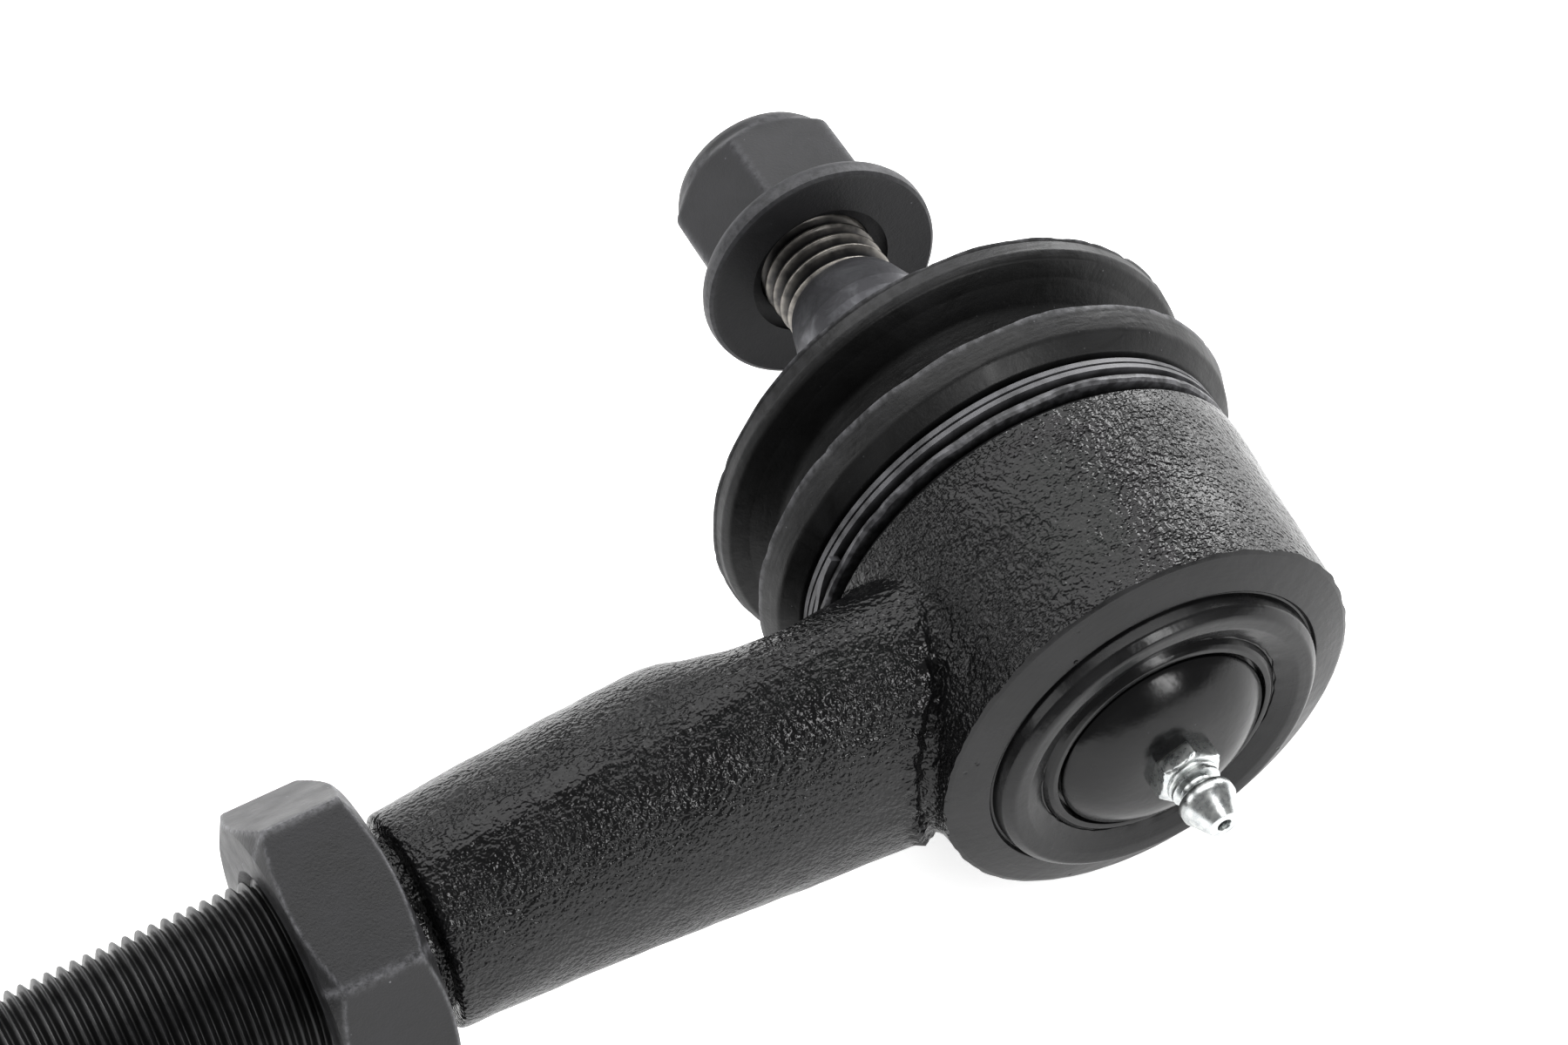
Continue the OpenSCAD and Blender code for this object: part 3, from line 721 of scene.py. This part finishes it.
# dust boot, in two pieces that meet at the waist
boot = {
    "bead": 8.8, "beadTop": 12.7, "beadRadius": 24.9, "lowRadius": 29.3, "highRadius": 29.0,
    "waist": 22.0, "waistY": 22.4, "wall": 2.0, "neck": 12.1, "neckBore": 10.1, "top": 40.8,
}

# height on the boot and its share of the stud's lean at rest
leanShares = [(12.0, 0.0), (16.5, 0.17), (22.4, 0.36), (28.5, 0.58), (34.5, 0.92), (36.0, 1.0)]


def makeBootPart(name, outline, bodies, start, end, waveSeed):
    def profileAt(angle):
        # the flash left at the mould's parting line waves a little in and out
        around = Vector((math.cos(angle), math.sin(angle), waveSeed))
        ragged = noise.noise(around * 5.0)
        nick = max(0.0, noise.noise(around * 14.0) - 0.2)
        # the third value carries scuffing on the flash edges and a painted highlight on the ridges' shoulder
        # facets
        return [(radius + flash * (0.14 * ragged - 0.5 * nick), height + flash * 0.12 * ragged, worn)
                for radius, height, worn, flash in outline]

    bm = newBmesh()
    turn(bm, profileAt, 220)
    for vert in bm.verts:
        vert.co = leanMatrix(between(leanShares, vert.co.y)[0]) @ vert.co
    piece = makePiece(name, bm, [mats["rubber"]], 38)
    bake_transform(piece, bodies[0], bodies[1], start=tuple(c * mm for c in start), end=tuple(c * mm for c in end))
    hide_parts("dust_boot")
    print("made", name, len(piece.data.polygons))


def withFillets(points):
    # (radius, height, fillet, wear, flash) rows to (radius, height, wear, flash) after rounding
    out = []
    for i, point in enumerate(points):
        trio = [points[i - 1][:2], point[:3], points[(i + 1) % len(points)][:2]]
        for spot in (rounded(trio, steps=4)[1:-1] if point[2] else [Vector(point[:2])]):
            out.append((spot[0], spot[1], point[3], point[4]))
    return out


def makeBoot():
    b = boot
    low = withFillets([
        (23.55, b["bead"] - 0.1, 0.1, 0, 0), (26.1, b["bead"] - 0.1, 0.1, 0.9, 1),
        (26.45, b["bead"] + 0.2, 0, 1, 1.5), (26.4, b["bead"] + 0.75, 0.1, 0.7, 0.5),
        (25.0, b["bead"] + 0.9, 0.2, 0.2, 0),
        (b["beadRadius"], b["beadTop"], 0.2, 0, 0),
        (26.6, 12.9, 0.6, 0, 0), (28.5, 14.3, 1.2, 0, 0), (b["lowRadius"] - 0.05, 16.4, 0.6, 0.1, 0),
        # the fourth value is scuffing on the flash edge; on the shoulder facet rows behind it, it is a painted
        # highlight of the light that facet catches
        (b["lowRadius"] + 0.2, 17.1, 0, 0.9, 1), (b["lowRadius"] - 0.3, 17.2, 0, 0.4, 0.6),
        (b["lowRadius"] - 1.4, 18.0, 0.3, 0.35, 0), (26.2, 19.0, 0.8, 0, 0), (23.4, 20.6, 1.5, 0, 0),
        (b["waist"], b["waistY"], 0, 0, 0), (b["waist"] - b["wall"], b["waistY"], 0, 0, 0),
        (21.6, 19.8, 1.0, 0, 0), (26.4, 17.0, 0.8, 0, 0), (26.6, 15.6, 0.6, 0, 0), (24.6, 14.9, 0, 0, 0),
        (24.6, 12.6, 0.2, 0, 0), (23.55, 12.4, 0.2, 0, 0)])
    high = withFillets([
        (b["waist"], b["waistY"], 0, 0, 0), (23.2, 24.3, 1.4, 0, 0), (26.3, 25.5, 1.5, 0, 0),
        (28.5, 26.1, 0.7, 0, 0), (b["highRadius"] + 0.1, 27.0, 0.6, 0.1, 0),
        (b["highRadius"] + 0.1, 28.3, 0.2, 0.15, 0),
        # the fourth value is scuffing on the flash edge; on the shoulder facet rows behind it, it is a painted
        # highlight of the light that facet catches
        (b["highRadius"] + 0.35, 28.6, 0, 0.9, 1), (b["highRadius"] - 0.2, 28.65, 0, 0.3, 0.6),
        (b["highRadius"] - 1.4, 29.5, 0.3, 0.3, 0), (26.0, 30.6, 1.0, 0.2, 0), (20.0, 33.4, 2.0, 0, 0),
        (14.6, 35.4, 1.0, 0, 0), (b["neck"], 36.3, 0.6, 0, 0), (b["neck"], 37.2, 0.2, 0, 0),
        (b["neck"] + 0.5, b["top"] - 0.8, 0.3, 0, 0), (b["neck"] + 0.1, b["top"], 0.3, 0.2, 0),
        (b["neckBore"], b["top"], 0.2, 0, 0), (b["neckBore"], 34.0, 0.3, 0, 0), (14.0, 33.2, 1.0, 0, 0),
        (19.5, 31.4, 1.5, 0, 0), (25.4, 28.9, 1.0, 0, 0), (26.6, 28.0, 0.5, 0, 0), (25.6, 27.2, 0.8, 0, 0),
        (22.0, 26.0, 1.0, 0, 0), (b["waist"] - b["wall"], b["waistY"], 0, 0, 0)])
    along = leanMatrix(0.5)
    makeBootPart("dust_boot_lower", low, ("housing", "boot"), (0, 12.8, 0), (0, 22.0, 0), 0.3)
    makeBootPart("dust_boot_upper", high, ("boot", "neck"), along @ Vector((0, 23.0, 0)),
                 along @ Vector((0, 35.0, 0)), 2.7)


# clamp strip round the boot's bead, two turns and a bit; first is where its lower end lies, in degrees
strip = {"radius": 25.1, "wide": 0.82, "deep": 1.3, "start": 9.8, "rise": 0.9, "turns": 2.12, "first": 150}


def makeStrip():
    s = strip
    bm = newBmesh()
    wear_and_sheen = bm.verts.layers.float["wear_and_sheen"]
    steps = int(150 * s["turns"])
    corners = [(0, 0, 0.2), (s["deep"], 0.1, 1), (s["deep"], s["wide"] - 0.1, 1), (0, s["wide"], 0.2)]
    rings = []
    for i in range(steps + 1):
        turned = i / steps * s["turns"]
        angle = math.radians(s["first"]) + 2 * math.pi * turned
        lift = s["start"] + s["rise"] * turned + 0.05 * noise.noise(Vector((i * 0.06, 0, 0)))
        tail = 0.9 * smooth(0.05, 0.0, turned) + 0.5 * smooth(s["turns"] - 0.04, s["turns"], turned)
        ring = []
        for outward, up, worn in corners:
            radius = s["radius"] + outward + tail
            ring.append(bm.verts.new((radius * math.cos(angle), lift + up, radius * math.sin(angle))))
            ring[-1][wear_and_sheen] = worn
        rings.append(ring)
    for a, b in zip(rings, rings[1:]):
        for k in range(4):
            bm.faces.new((a[k], a[(k + 1) % 4], b[(k + 1) % 4], b[k]))
    bm.faces.new(rings[0])
    bm.faces.new(rings[-1])
    piece = makePiece("boot_clamp_strip", bm, [mats["strip"]], 40)
    place(piece, "housing", "boot_clamp_wire")


neckRing = {"wire": 0.8, "gap": 0.3, "down": 2.2}  # wire radius, slack round the neck, place under its top


def makeNeckRing():
    r = neckRing
    radius = boot["neckBore"] + boot["wall"] + r["gap"] + r["wire"]
    y = boot["top"] - r["down"]
    section = [(radius + r["wire"] * math.cos(t), y + r["wire"] * math.sin(t)) for t in
               [2 * math.pi * k / 16 for k in range(16)]]
    bm = newBmesh()
    turn(bm, lambda angle: section, 96)
    piece = makePiece("boot_neck_ring_wire", bm, [mats["strip"]], 60, leanMatrix())
    place(piece, "neck", "boot_neck_ring")


# ball stud, along its own axis
stud = {"ball": 14.0, "neck": 7.5, "taper": 9.8, "taperY": 38.0, "taperEnd": 48.5, "taperSmall": 9.14}
studThread = {"start": 56.3, "end": 81.0, "radius": 7.0, "pitch": 2.0, "fade": 1.4, "chamfer": 1.2}


def makeStud():
    s = stud
    ballEdge = math.acos(s["neck"] / s["ball"])
    ball = [(s["ball"] * math.cos(a), s["ball"] * math.sin(a)) for a in
            [-math.pi / 2 + (ballEdge + math.pi / 2) * i / 40 for i in range(41)]]
    outline = ball + [(s["neck"], 17.0, 2), (s["taper"] - 0.6, 36.0, 2), (s["taper"], s["taperY"], 0.5),
                      (s["taperSmall"] + 0.05, s["taperEnd"] - 0.2, 1.2), (8.75, 50.6, 1.5),
                      (8.0, 53.0, 1.5), (7.45, 55.0, 1.2), (6.95, 56.2, 0.8), (6.2, 57.2), (0, 57.2)]
    points = rounded(outline)
    bm = newBmesh()
    turn(bm, lambda angle: points, 96)
    addThread(bm, studThread, 1, 64)
    piece = makePiece("ball_stud_steel", bm, [mats["stud"], mats["studThread"]], 50, leanMatrix())
    place(piece, "stud", "ball_stud")


def softMin(a, b, sharpness):
    # the smaller of two lengths, rounded off where they are nearly equal
    return (a ** -sharpness + b ** -sharpness) ** (-1 / sharpness)


def hexRadius(angle, flats, turned, sharpness):
    # distance to the side of a hexagon with softened corners, and how near a corner is
    values = [math.cos(angle - math.radians(turned + 60 * k)) for k in range(6)]
    first, second = sorted(values, reverse=True)[:2]
    radius = flats / 2 * (first ** sharpness + max(second, 0.01) ** sharpness) ** (-1 / sharpness)
    return radius, math.exp(-((first - second) * flats / 2 / 0.5) ** 2)


flangeNut = {"flats": 21.0, "height": 19.6, "flange": 14.5, "hexFrom": 4.3, "y": 62.4, "bore": 7.05,
             "turn": 18.0}


def makeFlangeNut():
    n = flangeNut
    h = n["height"]
    rows = [n["hexFrom"] + (h - n["hexFrom"]) * i / 40 for i in range(41)]
    crown = [(h - 6.2, 30), (h - 5.0, 12.1), (h - 4.0, 11.2), (h - 3.2, 10.62), (h - 2.2, 10.42),
             (h - 1.3, 10.0), (h - 0.6, 9.4), (h, 8.4)]  # height and the radius turned off the corners

    def profileAt(angle):
        radius, corner = hexRadius(angle, n["flats"], n["turn"], 46)
        base = [(n["bore"] + 1.9, 1.4, 0), (8.6, 0.55, 0), (n["flange"] - 1.3, 0.25, 0),
                (n["flange"] - 0.55, 0.0, 0.3), (n["flange"] - 0.15, 0.3, 0.6), (n["flange"], 1.0, 0.6),
                (n["flange"], 1.7, 0.5), (n["flange"] - 0.3, 2.4, 0.3), (n["flange"] - 1.2, 2.95, 0),
                (max(radius + 0.7, 12.0), 3.5, 0), (radius + 0.15, 3.95, 0)]
        side = []
        for s in rows:
            limit = between(crown, s)[0]
            atCorner = corner if radius < limit else 0.0
            atRim = math.exp(-((radius - limit) / 0.3) ** 2)
            side.append((softMin(radius, limit, 60), s, 0.8 * max(atCorner, atRim)))
        top = [(8.1, h, 0), (7.95, h - 0.3, 0), (7.9, h - 1.7, 0), (8.72, h - 1.72, 0), (8.72, h - 4.6, 0),
               (n["bore"], h - 4.6, 0), (n["bore"], 1.9, 0)]
        return base + side + top

    bm = newBmesh()
    turn(bm, profileAt, 264)
    lift = leanMatrix() @ Matrix.Translation((0, n["y"], 0))
    piece = makePiece("flange_nut_steel", bm, [mats["flangeNut"]], 34, lift)
    place(piece, "flange_nut", "flange_nut")


jamNut = {"flats": 34.0, "height": 12.0, "bore": 11.05, "x": 82.6, "turn": 45.0, "chamfer": 28}


def makeJamNut():
    n = jamNut
    face = n["flats"] / 2 - 0.4
    rise = math.tan(math.radians(n["chamfer"]))
    rows = [n["height"] * (0.5 - 0.5 * math.cos(math.pi * i / 44)) for i in range(45)]

    def profileAt(angle):
        radius, corner = hexRadius(angle, n["flats"], n["turn"], 110)
        side = []
        for s in rows:
            limit = face + min(s, n["height"] - s) / rise + 0.02
            worn = max(corner, math.exp(-((radius - limit) / 0.35) ** 2))
            side.append((softMin(radius, limit, 150), s, worn))
        return ([(n["bore"], 1.0, 0), (n["bore"] + 1.0, 0, 0.4), (face - 2.5, 0, 0)] + side
                + [(face - 2.5, n["height"], 0), (n["bore"] + 1.0, n["height"], 0.4),
                   (n["bore"], n["height"] - 1.0, 0)])

    bm = newBmesh()
    turn(bm, profileAt, 288)
    along = Matrix.Translation((-n["x"], 0, 0)) @ Matrix.Rotation(math.radians(90), 4, "Z")
    place(makePiece("jam_nut_steel", bm, [mats["jamNut"]], 30, along), "jam_nut", "jam_nut")


nipple = {"flats": 7.0, "thread": 3.0, "crown": 23.6, "tip": 32.75, "bore": 1.35, "turn": 50.0,
          "hexHeight": 2.3, "hexTop": 3.25, "chamfer": 32}


def makeNipple():
    n = nipple
    foot = n["crown"] - 0.15  # sunk a little into the dome
    hexTop = n["crown"] + n["hexHeight"]
    rise = math.tan(math.radians(n["chamfer"]))

    def profileAt(angle):
        radius = hexRadius(angle, n["flats"], n["turn"], 90)[0]
        side = []
        for i in range(17):
            y = foot + (hexTop - foot) * i / 16
            limit = n["hexTop"] + (hexTop - y) / rise
            side.append((softMin(radius, limit, 80), -y))
        collar = [(3.0, -hexTop - 0.02), (2.95, -hexTop - 0.25), (2.7, -hexTop - 0.4), (2.75, -hexTop - 0.6),
                  (2.92, -hexTop - 0.75), (2.92, -hexTop - 1.05), (2.65, -hexTop - 1.2), (2.2, -hexTop - 1.4),
                  (2.1, -hexTop - 1.9), (2.2, -28.1), (2.9, -28.3), (3.18, -28.55), (3.25, -28.8),
                  (3.25, -29.7), (3.1, -29.95), (1.8, -n["tip"] + 0.12), (1.6, -n["tip"]),
                  (0.85, -n["tip"]), (0.75, -n["tip"] + 0.15), (0.75, -n["tip"] + 1.05),
                  (n["bore"], -n["tip"] + 1.75), (n["bore"], -n["crown"] + 4.0)]
        shaft = [(n["bore"], -n["crown"] + 2.9), (n["thread"], -n["crown"] + 2.9),
                 (n["thread"], -n["crown"] + 0.1)]
        return shaft + side + collar

    bm = newBmesh()
    turn(bm, profileAt, 144)
    place(makePiece("grease_nipple_zinc", bm, [mats["zinc"]], 34), "housing", "grease_nipple")


def dressCadNodes():
    kept = {"preload_spring": "spring", "lower_ball_seat": "seat", "upper_ball_seat": "seat",
            "nut_locking_ring": "nylon", "nipple_check_ball": "spring", "nipple_spring": "spring"}
    for name, key in kept.items():
        piece = frame["nodes"][name]
        if not piece.material_slots:
            piece.data.materials.append(mats[key])
        for slotNow in piece.material_slots:
            slotNow.material = mats[key]
    print("dressed", len(kept), "inner pieces")


makeHousing()
makePlate()
makeBoot()
makeStrip()
makeNeckRing()
makeStud()
makeFlangeNut()
makeJamNut()
makeNipple()
dressCadNodes()


# strengths of the sky, the softboxes in watts and the floor's own glow
studio = {"world": 0.34, "topPower": 15.0, "sidePower": 5.0, "leftPower": 1.8, "frontPower": 2.4,
          "floorGlow": 0.65, "floorHalf": 6, "gamma": 0.8}


def makeFloor():
    bm = bmesh.new()
    bmesh.ops.create_grid(bm, x_segments=1, y_segments=1, size=studio["floorHalf"])
    mesh = bpy.data.meshes.new("pale_floor")
    bm.to_mesh(mesh)
    bm.free()
    # matt white paper, lit from within a little so that it stays white to its far edge
    material = startMaterial("white_paper_sweep", {
        "Roughness": 0.9, "Specular IOR Level": 0.0, "Base Color": hexColour("#f7f7f7"),
        "Emission Color": (1, 1, 1, 1), "Emission Strength": studio["floorGlow"]})[0]
    mesh.materials.append(material)
    floor = bpy.data.objects.new("pale_floor", mesh)
    floor.location.z = cadBox[0][2]
    bpy.context.scene.collection.objects.link(floor)


def addSoftbox(name, spot, aim, wide, high, power):
    light = bpy.data.lights.new(name, "AREA")
    light.shape = "RECTANGLE"
    light.size = wide
    light.size_y = high
    light.energy = power
    lamp = bpy.data.objects.new(name, light)
    lamp.location = spot
    lamp.rotation_euler = (Vector(aim) - Vector(spot)).to_track_quat("-Z", "Y").to_euler()
    bpy.context.scene.collection.objects.link(lamp)


def makeLight():
    world = bpy.data.worlds.new("soft_studio")
    bpy.context.scene.world = world
    world.use_nodes = True
    sky = world.node_tree.nodes["Background"]
    sky.inputs["Color"].default_value = (1, 1, 1, 1)
    sky.inputs["Strength"].default_value = studio["world"]
    addSoftbox("overhead", (0.1, 0.55, 0.95), (0, 0, 0), 1.5, 1.3, studio["topPower"])
    addSoftbox("right_side", (0.75, 0.45, 0.3), (0, 0, 0), 0.35, 0.6, studio["sidePower"])
    addSoftbox("front_strip", (0.2, -0.62, 0.42), (0, 0, 0), 0.14, 0.5, studio["frontPower"])
    addSoftbox("left_side", (-0.8, 0.3, 0.4), (-0.02, 0, 0), 0.5, 0.5, studio["leftPower"])
    bpy.context.scene.view_settings.view_transform = "Standard"
    bpy.context.scene.view_settings.gamma = studio["gamma"]


# lens and sensor in millimetres, as are target and distance; the turns are in degrees
cameraSet = {"lens": 140.451, "sensor": 36.0, "target": (-21.131, 26.672, 0.0), "distance": 675.99,
             "elevation": 52.143, "azimuth": 24.730, "roll": -4.459}


def makeCamera():
    c = cameraSet
    up = math.radians(c["elevation"])
    side = math.radians(c["azimuth"])
    forward = Vector((math.cos(up) * math.sin(side), math.cos(up) * math.cos(side), -math.sin(up)))
    level = forward.cross(Vector((0, 0, 1))).normalized()
    over = level.cross(forward)
    roll = math.radians(c["roll"])
    right = level * math.cos(roll) + over * math.sin(roll)
    top = right.cross(forward)
    spot = (Vector(c["target"]) - forward * c["distance"]) * mm
    data = bpy.data.cameras.new("studio_camera")
    data.lens = c["lens"]
    data.sensor_width = c["sensor"]
    data.clip_start = 0.05
    camera = bpy.data.objects.new("studio_camera", data)
    turned = Matrix((right, top, -forward)).transposed().to_4x4()
    camera.matrix_world = Matrix.Translation(spot) @ turned
    bpy.context.scene.collection.objects.link(camera)
    bpy.context.scene.camera = camera


makeFloor()
makeLight()
makeCamera()
print("floor, light and camera ready")

print("cad box", [[round(v, 4) for v in c] for c in cadBox])
